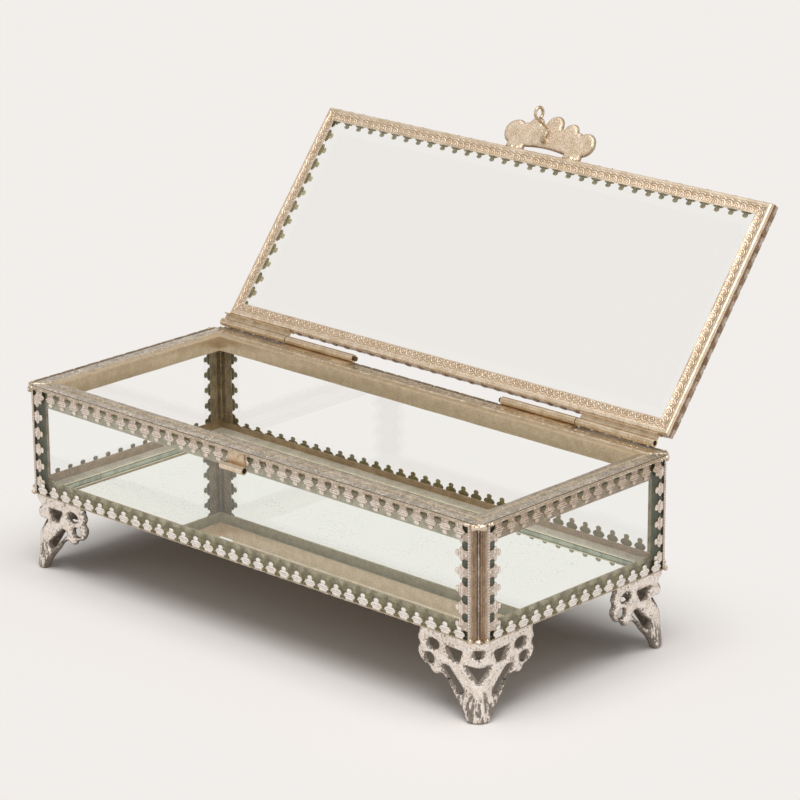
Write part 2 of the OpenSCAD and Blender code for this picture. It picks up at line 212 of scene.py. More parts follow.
clear_glass, nodes, out = new_finish("clear glass")
smears = between(nodes, spots_of(nodes, place_on(nodes), 38.0, 6.0, 0.7), 0.5, 0.8, 0.0, 0.05)
dust = between(nodes, spots_of(nodes, place_on(nodes), 900.0, 1.0), 0.4, 0.7)
body = add(nodes, "ShaderNodeBsdfPrincipled", {
    "Base Color": (0.995, 1.0, 0.995, 1), "Roughness": sum_up(nodes, "MULTIPLY", smears, dust),
    "IOR": 1.5, "Transmission Weight": 1.0, "Metallic": 0.0})
path = add(nodes, "ShaderNodeLightPath").outputs
passing = sum_up(nodes, "MAXIMUM", path["Is Shadow Ray"], path["Is Diffuse Ray"])
clear = add(nodes, "ShaderNodeBsdfTransparent", {"Color": (0.99, 0.995, 0.99, 1)})
mixed = add(nodes, "ShaderNodeMixShader", {0: passing, 1: body.outputs[0], 2: clear.outputs[0]})
nodes.links.new(mixed.outputs[0], out.inputs["Surface"])
soak = add(nodes, "ShaderNodeVolumeAbsorption", {"Color": GLASS_BODY, "Density": GLASS_SOAK})
nodes.links.new(soak.outputs[0], out.inputs["Volume"])


def finish_node(name, finish):
    """Gives a plain solid of the frame its finish."""
    piece = frame["nodes"][name]
    piece.data.materials.clear()
    piece.data.materials.append(finish)


for pane in ("front_glass", "back_glass", "left_glass", "right_glass"):
    finish_node(pane, clear_glass)


# The lower rails: brass lace strip with a soft silver plating, folded to a channel. Cut
# leaves stand up outside the pane, a plain leg inside, and a flat lip holds the mirror.

MM = 0.001
STRIP = 0.4
OFF_PANE = 0.04
LEAF_PITCH = 5.65
LEAF_HALF = ((0, 0), (0.5, 0.08), (0.9, 0.35), (1.02, 0.8), (0.85, 1.2), (0.8, 1.4), (1.3, 1.5),
             (1.75, 1.65), (1.85, 1.85), (2.1, 1.98), (2.28, 2.3), (2.18, 2.75), (1.75, 3.05),
             (1.42, 3.4), (1.36, 4.0), (1.4, 4.6), (1.45, 5.1), (1.5, 5.5))
LEAF_FOOT = ((1.5, 0.85), (1.6, 0.5), (2.1, 0.2), (2.4, -0.02))
LEAF_RIBS = ((0.75, 0.08), (1.4, -0.08), (1.8, 0.12), (2.15, -0.1), (2.5, 0.12), (2.85, -0.1), (3.3, 0.1))


def metal_group():
    """Plating that has dulled in patches, with dirt in its hollows, a fine cast grain and painted glints:
    pale specks in its colour that stand for small highlights.
    """
    tree = bpy.data.node_groups.new("dulled plating", "ShaderNodeTree")
    for names, way, kind in ((("Clean", "Dull", "Dirt"), "INPUT", "Color"),
                             (("Relief", "Soil", "Grain", "Painted glints", "Shine"), "INPUT", "Float"),
                             (("Colour",), "OUTPUT", "Color"), (("Roughness", "Height"), "OUTPUT", "Float")):
        for name in names:
            tree.interface.new_socket(name, in_out=way, socket_type="NodeSocket" + kind)
    given = add(tree, "NodeGroupInput").outputs
    where = vector_step(tree, "SCALE", place_on(tree), 1000.0)
    patches = spots_of(tree, where, 0.3, 5.0, 0.65)
    grain = spots_of(tree, where, given["Grain"], 3.0)
    specks = spots_of(tree, where, 1.15, 6.0, 0.75)
    worn = sum_up(tree, "ADD", sum_up(tree, "MULTIPLY", patches, 0.6),
                  sum_up(tree, "MULTIPLY", grain, 0.4))
    shade = blended(tree, between(tree, worn, 0.4, 0.6), given["Clean"], given["Dull"])
    hollow = sum_up(tree, "MULTIPLY", sum_up(tree, "SUBTRACT", 1.0, given["Relief"]), 0.3)
    reach = sum_up(tree, "SUBTRACT", 0.64, hollow)
    soiled = between(tree, specks, sum_up(tree, "SUBTRACT", reach, 0.06), reach)
    soiled = sum_up(tree, "MULTIPLY", soiled, given["Soil"])
    # Painted glints: small pale specks mixed into the colour, standing for highlights on the metal.
    bright = between(tree, spots_of(tree, where, 0.9, 3.0, 0.8), 0.57, 0.62)
    bright = sum_up(tree, "MULTIPLY", bright, given["Painted glints"])
    shade = blended(tree, bright, blended(tree, soiled, shade, given["Dirt"]), colour("fff4e6"))
    rough = sum_up(tree, "ADD", between(tree, grain, 0.3, 0.7, 0.26, 0.44),
                   sum_up(tree, "MULTIPLY", soiled, 0.2))
    rough = sum_up(tree, "SUBTRACT", rough, given["Shine"])
    lumps = sum_up(tree, "ADD", sum_up(tree, "MULTIPLY", grain, 0.6),
                   sum_up(tree, "MULTIPLY", specks, 0.6))
    lumps = sum_up(tree, "SUBTRACT", lumps, sum_up(tree, "MULTIPLY", soiled, 0.35))
    add(tree, "NodeGroupOutput", {"Colour": shade, "Roughness": rough, "Height": lumps})
    return tree


DULLED = metal_group()


def metal(name, clean, dull, dirt, soil=0.6, grain=2.4, bump=0.35, metallic=1.0, relief=False,
          painted_glints=0.0, shine=0.0, pattern=None):
    """A metal finish. pattern gives more height, such as a pressed ornament."""
    made, nodes, out = new_finish(name)
    skin = add(nodes, "ShaderNodeGroup", node_tree=DULLED)
    for key, value in (("Clean", colour(clean)), ("Dull", colour(dull)), ("Dirt", colour(dirt)),
                       ("Soil", soil), ("Grain", grain), ("Relief", 1.0), ("Painted glints", painted_glints),
                       ("Shine", shine)):
        skin.inputs[key].default_value = value
    raised = None
    if relief:
        raised = add(nodes, "ShaderNodeAttribute", attribute_name="relief").outputs["Fac"]
    height = skin.outputs["Height"]
    if pattern:
        pressed = pattern(nodes)
        height = sum_up(nodes, "ADD", height, pressed)
        raised = (sum_up(nodes, "MULTIPLY", raised, between(nodes, pressed, -0.8, 1.0))
                  if raised else pressed)
    if raised:
        nodes.links.new(raised, skin.inputs["Relief"])
    bumped = add(nodes, "ShaderNodeBump", {"Height": height, "Strength": bump, "Distance": 0.00025})
    body = add(nodes, "ShaderNodeBsdfPrincipled", {
        "Base Color": skin.outputs["Colour"], "Roughness": skin.outputs["Roughness"],
        "Metallic": metallic, "Normal": bumped.outputs[0]})
    nodes.links.new(body.outputs[0], out.inputs[0])
    return made


lace_plating = metal("lace plating", "fff5ec", "efe0d4", "a8917b", soil=0.7, relief=True,
                     bump=0.5, metallic=0.4)
lace_bright = metal("bright lace", "fffcf8", "fbf2ea", "c2ad98", soil=0.5, relief=True, bump=0.4,
                    metallic=0.2)
strip_inside = metal("strip inside", "b8ae92", "9c927a", "655e46", soil=0.5, metallic=0.5)
leaf_back = metal("leaf back", "a39563", "887b50", "4f472b", soil=0.5, metallic=0.25)
flat_lip = metal("flat lip", "dcd6c4", "c5bea9", "928b75", soil=0.5, grain=1.1, bump=0.3, metallic=0.3)
channel_leg = metal("channel leg", "ac9576", "968063", "67563f", soil=0.4, grain=1.1, bump=0.2,
                    metallic=0.5)
leg_outside = metal("leg behind the pane", "c6bb98", "a99d7c", "7b7353", soil=0.6, grain=0.8, bump=0.3,
                    metallic=0.5)
# The lip's rounded inner edge is painted pale: a painted highlight along it.
pale_lip_edge = metal("pale lip edge", "f2e9cc", "dccfa8", "a39470", soil=0.3, bump=0.2, metallic=0.3)
under_strip = metal("strip underneath", "c4b49c", "a5957d", "6e5e4a", metallic=0.7)


def new_piece(name, mesh, body, stands_for=None):
    """Puts a finished mesh into the scene as a piece of the box."""
    piece = in_scene(name, mesh)
    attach(piece, body)
    if stands_for:
        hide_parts(stands_for)


def as_mesh(bm, name, finishes, sharp=40):
    """Closes a mesh under work: normals outward, soft faces and sharp corners."""
    bmesh.ops.remove_doubles(bm, verts=bm.verts, dist=1e-7)
    bmesh.ops.recalc_face_normals(bm, faces=bm.faces)
    mesh = bpy.data.meshes.new(name)
    bm.to_mesh(mesh)
    bm.free()
    for finish in finishes:
        mesh.materials.append(finish)
    mesh.polygons.foreach_set("use_smooth", [True] * len(mesh.polygons))
    mesh.set_sharp_from_angle(angle=math.radians(sharp))
    return mesh


def turn(p, q, radius, start, end, steps, finish):
    """Points of a section round a fold."""
    angles = [math.radians(start + (end - start) * i / steps) for i in range(steps + 1)]
    return [(p + radius * math.cos(a), q + radius * math.sin(a), finish) for a in angles]


def add_strip(bm, section, end_at, stations, wave=0.05, seed=0.0):
    """Runs a closed section of (across, up, finish) along X, in millimetres.
    end_at gives the half length of the strip at each distance across."""
    layer = bm.loops.layers.uv.get("strip") or bm.loops.layers.uv.new("strip")
    rings = []
    walked = [0.0]
    for (p, q, _), (r, s, _) in zip(section, section[1:] + section[:1]):
        walked.append(walked[-1] + math.hypot(r - p, s - q))
    for p, q, _ in section:
        half = end_at(p)
        ring = []
        for j in range(stations + 1):
            x = half * (2 * j / stations - 1)
            swing = wave * (math.sin(x * 0.21 + seed) + 0.6 * math.sin(x * 0.53 + 2 * seed + p * 0.3))
            ring.append(bm.verts.new((x, p, q + swing * 0.5 - abs(wave))))
        rings.append(ring)
    for i, (_, _, finish) in enumerate(section):
        a, b = rings[i], rings[(i + 1) % len(section)]
        for j in range(stations):
            face = bm.faces.new((a[j], a[j + 1], b[j + 1], b[j]))
            face.material_index = finish
            for loop, across in zip(face.loops, (i, i, i + 1, i + 1)):
                loop[layer].uv = (loop.vert.co.x, walked[across])
    bm.faces.new([ring[0] for ring in rings])
    bm.faces.new([ring[-1] for ring in rings])


def leaf_mesh(reach):
    """One pressed leaf on its fold: across X, reaching along +Y, its outside at +Z."""
    kept = [(x, reach - v) for x, v in LEAF_HALF if reach - v > 1.0] + list(LEAF_FOOT)
    outline = [(-x, y) for x, y in reversed(kept[1:])] + kept
    bm = bmesh.new()
    top = bm.faces.new([bm.verts.new((x, y, 0.2)) for x, y in outline])
    back = bmesh.ops.extrude_face_region(bm, geom=[top])
    for vert in [g for g in back["geom"] if isinstance(g, bmesh.types.BMVert)]:
        vert.co.z = 0.0
    bm.faces.ensure_lookup_table()
    front = max(bm.faces, key=lambda f: f.calc_center_median().z)
    bmesh.ops.recalc_face_normals(bm, faces=bm.faces)
    bmesh.ops.inset_region(bm, faces=[front], thickness=0.16, depth=0.14)
    for down, _ in LEAF_RIBS:
        bmesh.ops.bisect_plane(bm, geom=[front] + list(front.edges) + list(front.verts),
                               plane_co=(0, reach - down, 0), plane_no=(0, -1, 0))
        front = max((f for f in bm.faces if f.normal.z > 0.9), key=lambda f: f.calc_area())
    relief = bm.verts.layers.float.new("relief")
    inside = bm.faces.layers.int.new("inside")
    for vert in bm.verts:
        vert[relief] = 0.4 if vert.co.z < 0.3 else 0.9 if reach - vert.co.y < 3.2 else 0.45
        for down, rise in LEAF_RIBS:
            if vert.co.z > 0.3 and abs(reach - down - vert.co.y) < 0.01:
                vert.co.z += rise
                vert[relief] = 1.0 if rise > 0 else 0.15
    for face in bm.faces:
        face[inside] = int(face.calc_center_median().z < 0.12)
    mesh = bpy.data.meshes.new("leaf")
    bm.to_mesh(mesh)
    bm.free()
    return mesh


def row_tree():
    """Repeats one small shape along X, each a little uneven, and gives it its two finishes."""
    tree = bpy.data.node_groups.new("row of leaves", "GeometryNodeTree")
    tree.interface.new_socket("Geometry", in_out="OUTPUT", socket_type="NodeSocketGeometry")
    for name, kind in (("Shape", "Object"), ("Count", "Int"), ("Pitch", "Float"), ("Tilt", "Float"),
                       ("Seed", "Int"), ("Outside", "Material"), ("Inside", "Material")):
        tree.interface.new_socket(name, in_out="INPUT", socket_type="NodeSocket" + kind)
    given = add(tree, "NodeGroupInput").outputs
    gaps = sum_up(tree, "SUBTRACT", given["Count"], 1.0)
    start = sum_up(tree, "MULTIPLY", sum_up(tree, "MULTIPLY", gaps, given["Pitch"]), -0.5)
    line = add(tree, "GeometryNodeMeshLine", {
        "Count": given["Count"], "Start Location": add(tree, "ShaderNodeCombineXYZ", {0: start}).outputs[0],
        "Offset": add(tree, "ShaderNodeCombineXYZ", {0: given["Pitch"]}).outputs[0]})
    shape = add(tree, "GeometryNodeObjectInfo", {"Object": given["Shape"]})
    lean = add(tree, "FunctionNodeRandomValue", {
        "Min": (-0.5, -0.4, -1.0), "Max": (0.5, 0.4, 1.0), "Seed": given["Seed"]},
        data_type="FLOAT_VECTOR")
    size = add(tree, "FunctionNodeRandomValue", {
        "Min": (0.96, 0.98, 0.9), "Max": (1.04, 1.01, 1.0),
        "Seed": sum_up(tree, "ADD", given["Seed"], 7.0)}, data_type="FLOAT_VECTOR")
    spread = add(tree, "GeometryNodeInstanceOnPoints", {
        "Points": line.outputs[0], "Instance": shape.outputs["Geometry"], "Scale": size.outputs[0],
        "Rotation": vector_step(tree, "SCALE", lean.outputs[0], given["Tilt"])})
    solid = add(tree, "GeometryNodeRealizeInstances", {0: spread.outputs[0]})
    outside = add(tree, "GeometryNodeSetMaterial", {
        "Geometry": solid.outputs[0], "Material": given["Outside"]})
    marked = add(tree, "GeometryNodeInputNamedAttribute", {"Name": "inside"}, data_type="INT")
    both = add(tree, "GeometryNodeSetMaterial", {
        "Geometry": outside.outputs[0], "Material": given["Inside"],
        "Selection": sum_up(tree, "GREATER_THAN", marked.outputs[0], 0.5)})
    add(tree, "NodeGroupOutput", {0: both.outputs[0]})
    return tree


ROW = row_tree()
LEAVES = {}


def row_mesh(shape, count, pitch, tilt, seed, outside, inside):
    """A row of one shape as a plain mesh, centred on the origin."""
    model = in_scene("shape", shape)
    holder = in_scene("row", bpy.data.meshes.new("row"))
    rule = holder.modifiers.new("row", "NODES")
    rule.node_group = ROW
    names = {s.name: s.identifier for s in ROW.interface.items_tree if s.in_out == "INPUT"}
    for name, value in (("Shape", model), ("Count", count), ("Pitch", pitch), ("Tilt", tilt),
                        ("Seed", seed), ("Outside", outside), ("Inside", inside)):
        rule[names[name]] = value
    bpy.context.view_layer.update()
    seen_by = bpy.context.evaluated_depsgraph_get()
    mesh = bpy.data.meshes.new_from_object(holder.evaluated_get(seen_by))
    holder.modifiers.clear()
    bpy.data.objects.remove(holder)
    bpy.data.objects.remove(model)
    return mesh


def add_leaves(bm, reach, run, place, seed, finishes, growth=0.0):
    """Adds the row of leaves of a strip to its mesh, standing at place. growth is how much
    longer they get for each millimetre along."""
    if reach not in LEAVES:
        LEAVES[reach] = leaf_mesh(reach)
    count = int(run / LEAF_PITCH)
    row = row_mesh(LEAVES[reach], count, LEAF_PITCH, 0.02, seed, lace_plating, leaf_back)
    for vert in row.vertices:
        vert.co.y *= 1 + growth * vert.co.x
    add_copy(bm, row, place, finishes)


def add_copy(bm, mesh, place, finishes):
    """Joins a plain mesh to one under work, and keeps its finishes."""
    index = [finishes.index(m) if m in finishes else 0 for m in mesh.materials]
    before = len(bm.faces)
    mesh.transform(place)
    bm.from_mesh(mesh)
    bm.faces.ensure_lookup_table()
    for i in range(before, len(bm.faces)):
        bm.faces[i].material_index = index[bm.faces[i].material_index]


box_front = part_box("front_top_rail")[0].y / MM
box_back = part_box("back_top_rail")[1].y / MM
BOX_W = (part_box("right_top_rail")[1].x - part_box("left_top_rail")[0].x) / MM
BOX_D = box_back - box_front
BOX_MID_Y = (box_front + box_back) / 2
FOOT_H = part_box("front_floor_rail")[0].z / MM
SIDE_H = 37.2
NOTCH = 4.0
LOWER_LIP = 4.6
LIP_UNDER = 1.4


def side_place(side):
    """From a side's own millimetres, its outer face on y = 0, to its place in the box."""
    angle, half = {"front": (0, BOX_D / 2), "right": (90, BOX_W / 2), "back": (180, BOX_D / 2),
                   "left": (-90, BOX_W / 2)}[side]
    return (Matrix.Scale(MM, 4) @ Matrix.Translation((0, BOX_MID_Y, FOOT_H))
            @ Matrix.Rotation(math.radians(angle), 4, "Z") @ Matrix.Translation((0, -half, 0)))


def axes(along, across, out, origin):
    """Turns a strip's own directions, along, across and out, to other ones."""
    columns = ((*along, 0), (*across, 0), (*out, 0), (*origin, 1))
    return Matrix(columns).transposed()


LOWER_FINISHES = [lace_bright, flat_lip, under_strip, strip_inside, leaf_back, channel_leg, leg_outside,
                  pale_lip_edge]
for seed, (side, reach, growth, leg_top) in enumerate((
        ("front", 4.2, 0.0, 5.1), ("right", 4.2, 0.0, 5.1),
        ("back", 5.6, -0.0022, 4.0), ("left", 5.0, 0.0, 4.7))):
    run = BOX_W if side in ("front", "back") else BOX_D
    bm = bmesh.new()
    section = [(0, 0.5, 2)] + turn(0.3, 0.3, 0.3, 180, 270, 3, 2) + [(1.2, 0, 2), (8.9, 0, 2)]
    section += [(9, 0.1, 2), (9, 0.3, 3), (8.9, 0.4, 3), (4, 0.4, 3), (0.5, 0.4, 3), (0.4, 0.5, 2)]
    add_strip(bm, section, lambda p: run / 2 - max(p, NOTCH), int(run / 5), 0.04, seed)
    leg = [(4.0, 0.3, 6), (4.0, leg_top - 0.1, 6), (4.1, leg_top, 5), (4.3, leg_top, 5),
           (4.4, leg_top - 0.1, 5), (4.4, 0.3, 5)]
    add_strip(bm, leg, lambda p: run / 2 - p, int(run / 5), 0.02, seed)
    lip_in = NOTCH + STRIP + LOWER_LIP
    lip = [(4.2, LIP_UNDER, 3), (lip_in - 0.15, LIP_UNDER, 7), (lip_in, LIP_UNDER + 0.1, 7),
           (lip_in, LIP_UNDER + 0.3, 7), (lip_in - 0.12, LIP_UNDER + STRIP, 1), (7.4, LIP_UNDER + STRIP, 1),
           (7.1, LIP_UNDER + 0.32, 1), (6.8, LIP_UNDER + STRIP, 1), (4.2, LIP_UNDER + STRIP, 1)]
    add_strip(bm, lip, lambda p: run / 2 - p, int(run / 5), 0.03, 5 + seed)
    stand = axes((1, 0, 0), (0, 0, 1), (0, -1, 0), (0, STRIP - OFF_PANE, 0))
    add_leaves(bm, reach, run - 2 * NOTCH, stand, seed, LOWER_FINISHES, growth)
    bm.transform(side_place(side))
    mesh = as_mesh(bm, side + " lower lace", LOWER_FINISHES)
    new_piece(side + "_lower_lace", mesh, "casket", side + "_floor_rail")


# The mirror floor: a sheet of glass silvered below, held between the flats and the lips of
# the lower rails, with a ground edge that shows green. A thin brass plate closes it below.

RIM = 4.45
SILVER_UP = 0.04
PLATE_GRAIN = 1.6


def mirror_finish():
    """Silvering under faintly green glass, specked here and there with age."""
    made, nodes, out = new_finish("old mirror")
    fine = spots_of(nodes, place_on(nodes), 1400.0, 2.0)
    wide = spots_of(nodes, place_on(nodes), 60.0, 4.0)
    spots = sum_up(nodes, "MULTIPLY", between(nodes, fine, 0.6, 0.7), between(nodes, wide, 0.35, 0.65))
    tint = blended(nodes, spots, colour("f8fbf6"), colour("d5dbd2"))
    rough = between(nodes, sum_up(nodes, "MULTIPLY", fine, wide), 0.15, 0.45, 0.0, 0.02)
    body = add(nodes, "ShaderNodeBsdfPrincipled", {
        "Base Color": tint, "Metallic": 1.0, "Roughness": rough})
    nodes.links.new(body.outputs[0], out.inputs[0])
    return made


def ground_edge(name, dark, pale):
    """The mirror's rim: grey-green glass with a satin face."""
    made, nodes, out = new_finish(name)
    run = spots_of(nodes, place_on(nodes), 220.0, 4.0)
    tint = blended(nodes, between(nodes, run, 0.35, 0.65), colour(dark), colour(pale))
    body = add(nodes, "ShaderNodeBsdfPrincipled", {
        "Base Color": tint, "Metallic": 0.0, "IOR": 1.5,
        "Roughness": between(nodes, run, 0.3, 0.7, 0.2, 0.4)})
    nodes.links.new(body.outputs[0], out.inputs[0])
    return made


bm = bmesh.new()
low, high = (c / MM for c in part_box("floor_mirror"))
rings = []
under_lip = FOOT_H + LIP_UNDER
for inset, z in ((0, low.z), (0, under_lip), (RIM, under_lip), (RIM, under_lip - 0.35),
                 (RIM, low.z + SILVER_UP)):
    corners = ((low.x + inset, low.y + inset), (high.x - inset, low.y + inset),
               (high.x - inset, high.y - inset), (low.x + inset, high.y - inset))
    rings.append([bm.verts.new((x, y, z)) for x, y in corners])
bm.faces.new(rings[0]).material_index = 1
for a, b, finish in zip(rings, rings[1:], (1, 1, 1, 2)):
    for i in range(4):
        rim = bm.faces.new((a[i], a[(i + 1) % 4], b[(i + 1) % 4], b[i]))
        rim.material_index = finish
bm.faces.new(rings[-1])
bm.transform(Matrix.Scale(MM, 4))
# The rim's faces under the lip and its step are the glass's own green darkened as painted shade of the gap
# under the lip; the face below the step is the paler ground edge.
edge_in_painted_shade = ground_edge("glass edge in shade", "4a4c36", "6c6e54")
edge_pale = ground_edge("ground glass edge", "949c86", "b9bfa9")
mesh = as_mesh(bm, "mirror floor", [mirror_finish(), edge_in_painted_shade, edge_pale], sharp=5)
new_piece("mirror_floor", mesh, "casket", "floor_mirror")
finish_node("backing_plate", metal("backing brass", "9a8668", "86714f", "54462f", grain=PLATE_GRAIN))


# The stiles: the same strip folded round the upright edges of each pane. Its leaves lie
# sideways over the glass beside a line of beads, and ribs run down the back of the fold.

STILE_REACH = 6.2
SHORT_REACH = 5.0
STILE_LIP = 5.0
BEAD_PITCH = 0.92
FRONT_RUN = BOX_W - 2 * NOTCH
SIDE_RUN = BOX_D - 2 * NOTCH

bare_web = metal("bare fold", "b79f87", "9c8269", "6e5844", soil=0.6, grain=1.2, metallic=0.5)


def bead_mesh(radius, flat):
    """One pressed bead, a low dome."""
    bm = bmesh.new()
    bmesh.ops.create_icosphere(bm, subdivisions=1, radius=radius)
    bmesh.ops.scale(bm, vec=(1, 1, flat), verts=bm.verts)
    mesh = bpy.data.meshes.new("bead")
    relief = bm.verts.layers.float.new("relief")
    for vert in bm.verts:
        vert[relief] = 1.0
    bm.to_mesh(mesh)
    bm.free()
    return mesh


BEAD = bead_mesh(0.34, 0.6)
# The stile's face behind the pane, seen through the holes between its leaves, is painted dark green: painted
# shade inside the fold.
shaded_stile_behind_pane = metal("stile behind the pane in painted shade", "70755a", "585d44", "33372a", soil=0.5, metallic=0.2)
stile_inside = metal("stile inside", "a08e6f", "7f6f54", "4c4232", soil=0.8, grain=1.0, bump=0.5,
                     metallic=0.4)
STILE_FINISHES = [lace_plating, bare_web, stile_inside, shaded_stile_behind_pane, leaf_back]
stile_h = SIDE_H - 2 * STRIP
for seed, name in enumerate(("front_left", "front_right", "back_left", "back_right",
                             "left_front", "left_back", "right_front", "right_back")):
    side, end = name.split("_")
    run = FRONT_RUN if side in ("front", "back") else SIDE_RUN
    right_hand = name in ("front_right", "back_left", "right_back", "left_front")
    reach = SHORT_REACH if name in ("front_left", "right_back") else STILE_REACH
    bm = bmesh.new()
    section = [(1.0, 0.4, 0), (0.6, 0.4, 0)] + turn(0.35, 0.75, 0.35, 270, 180, 3, 0)
    for rib in (1.45, 2.2, 2.95):
        section += [(0, rib - 0.32, 1), (-0.2, rib - 0.14, 1), (-0.2, rib + 0.14, 1), (0, rib + 0.32, 1)]
    section += turn(0.35, 3.65, 0.35, 180, 90, 3, 2) + [(1.8, 4.0, 2), (2.0, 4.08, 2), (2.2, 4.0, 2),
                                                     (STILE_LIP, 4.0, 2), (STILE_LIP, 3.6, 3)]
    section += [(0.5, 3.6, 3), (0.4, 3.5, 3), (0.4, 0.9, 3), (0.5, 0.8, 3), (1.0, 0.8, 3)]
    add_strip(bm, section, lambda p: stile_h / 2, 12, 0.03, seed)
    stand = axes((1, 0, 0), (0, 1, 0), (0, 0, -1), (0, 0, 2 * STRIP))
    add_leaves(bm, reach, stile_h, stand, 20 + seed, STILE_FINISHES)
    beads = row_mesh(BEAD, int(stile_h / BEAD_PITCH), BEAD_PITCH, 0.0, seed, lace_plating, lace_plating)
    add_copy(bm, beads, Matrix.Translation((0, 0.62, 0.45)), STILE_FINISHES)
    across = (-1, 0, 0) if right_hand else (1, 0, 0)
    middle = (run / 2 if right_hand else -run / 2, 0, SIDE_H / 2)
    bm.transform(side_place(side) @ axes((0, 0, 1), across, (0, 1, 0), middle))
    mesh = as_mesh(bm, name + " upright lace", STILE_FINISHES)
    new_piece(name + "_upright_lace", mesh, "casket", name + "_stile")


# The upper rails: strip folded over the panes, mitred at the corners. A bead line runs
# along the flat, the leaves hang outside and a plain lip inside.

UPPER_REACH = 5.3
UPPER_LIP = 5.4
RAIL_W = 9.0
BEAD_LINE = 6.0
LUMP_PITCH = LEAF_PITCH / 2

# A darker copy of the lace plating, used on the right rail only.
darker_right_lace = metal("darker lace of the right side", "ecdac8", "d6c2ae", "957d67", soil=0.75, relief=True, bump=0.5,
                  metallic=0.4)
fold_brown = metal("fold", "b8a083", "8e7860", "4d4032", soil=0.8, grain=1.4, bump=0.7)
plain_lip = metal("plain lip", "d3bfa2", "bfaa8b", "8a775c", soil=0.25, bump=0.2, metallic=0.7)
# The flats' grey is partly their own tarnish and partly painted shade, a darker colour standing for the dim
# reflection their up-facing metal shows; their pale specks are painted glints.
rail_flat = metal("rail flat", "d4c8b8", "a59d90", "675d4e", soil=0.9, grain=1.5, bump=0.9, painted_glints=0.9)
rail_inner = metal("rail inner flat", "c9bba8", "9d9384", "645a4c", soil=0.85, grain=1.3, bump=0.6,
                   painted_glints=0.4)
# The rubbed bead and the crumpled fold also carry painted glints: pale specks standing for highlights.
bead_gold = metal("rubbed bead", "e4d5bb", "bcab92", "786b5a", soil=0.6, grain=1.2, bump=0.4, painted_glints=0.6)
pale_leg = metal("upper leg behind the pane", "c9c2aa", "aca58c", "827c64", soil=0.4, grain=0.8,
                 bump=0.2, metallic=0.4)
inner_leg = metal("upper leg", "d2c6a8", "bcae8e", "8f8566", soil=0.4, grain=0.9, bump=0.2, metallic=0.2)
fold_crumpled = metal("crumpled fold", "d9c9b2", "b5a48d", "6f6150", soil=0.7, grain=1.1, bump=0.8,
                      painted_glints=0.8)
# A dark finish: a dark line in the groove beside the fold, and painted shade on the top of the leg under the
# fold.
dark_groove_and_painted_shade = metal("dark groove and painted shade under the fold", "5a5046", "6b6055", "352e26", soil=0.9)
LUMP = bead_mesh(0.62, 0.3)
UPPER_LEG = 7.0
UPPER_FINISHES = [lace_plating, rail_flat, bead_gold, rail_inner, plain_lip, strip_inside, dark_groove_and_painted_shade,
                  leaf_back, fold_brown, pale_leg, inner_leg]


def upper_end(run):
    """Half length of an upper rail: cut across the corner outside, mitred inside."""
    return lambda p: run / 2 - NOTCH + p if p < NOTCH / 2 else run / 2 - p


for seed, side in enumerate(("front", "right", "back", "left")):
    run = BOX_W if side in ("front", "back") else BOX_D
    bm = bmesh.new()
    inner = 3 if side in ("front", "right") else 4
    section = [(0, -0.5, 8)] + turn(0.3, -0.3, 0.3, 180, 90, 3, 8)
    section += [(1.1, 0, 6), (1.2, -0.14, 6), (1.4, -0.14, 6), (1.55, 0, 1), (2, 0, 1), (5.6, 0, 2)]
    section += turn(BEAD_LINE, 0, 0.35, 165, 15, 5, 2) + [(6.4, 0, inner), (8.5, 0, 4)]
    section += turn(8.5, -0.5, 0.5, 90, 0, 3, 4) + [(RAIL_W, 0.3 - UPPER_LIP, 4),
                                                  (RAIL_W - 0.12, -UPPER_LIP, 4)]
    section += [(8.6, 0.1 - UPPER_LIP, 5), (8.6, -0.7, 5), (8.3, -0.4, 5), (2, -0.4, 5), (0.5, -0.4, 5),
                (0.4, -0.5, 5)]
    add_strip(bm, section, upper_end(run), int(run / 3), 0.05, 3 + seed)
    # The leg's face behind the leaves is painted in bands under the fold: the dark groove finish, then the
    # leaf-back finish, are painted shade; the pale leg is below. On the right side the painted shade reaches
    # lower.
    low = 0.7 if side == "right" else 0.0
    leg = [(4.0, -0.3, 6), (4.0, -1.9 - low, 7), (4.0, -2.7 - low, 9), (4.0, 0.1 - UPPER_LEG, 9),
           (4.1, -UPPER_LEG, 9), (4.3, -UPPER_LEG, 10), (4.4, 0.1 - UPPER_LEG, 10), (4.4, -0.3, 10)]
    add_strip(bm, leg, lambda p: run / 2 - p, int(run / 5), 0.02, seed)
    stand = axes((1, 0, 0), (0, 0, -1), (0, -1, 0), (0, STRIP - OFF_PANE, 0))
    add_leaves(bm, UPPER_REACH, run - 2 * NOTCH, stand, 40 + seed, UPPER_FINISHES)
    lumps = row_mesh(LUMP, int((run - 14) / LUMP_PITCH), LUMP_PITCH, 0.1, 60 + seed, rail_flat,
                     rail_flat)
    add_copy(bm, lumps, Matrix.Translation((0, 3.2, -0.08)), UPPER_FINISHES)
    bm.transform(side_place(side) @ Matrix.Translation((0, 0, SIDE_H)))
    finishes = list(UPPER_FINISHES)
    if side in ("front", "right"):
        finishes[8] = fold_crumpled
    # The right rail takes the darker lace, and the darker channel-leg finish on its leg behind the leaves.
    if side == "right":
        finishes[0] = darker_right_lace
        finishes[9] = channel_leg
    if side == "back":
        finishes[1] = bead_gold
    mesh = as_mesh(bm, side + " upper lace", finishes)
    new_piece(side + "_upper_lace", mesh, "casket", side + "_top_rail")


# The corners: crumpled lips and blobs of solder close the cut ends of the upper rails,
# and a seam of solder runs down between each pair of stiles to a blob on the foot.

solder_bright = metal("bright solder", "efe0cd", "d9c4aa", "8c7658", soil=0.4, grain=0.9, bump=0.6)
solder_grey = metal("dull solder", "c9c2b8", "a69d92", "6b6054", soil=0.6, grain=1.0, bump=0.6)


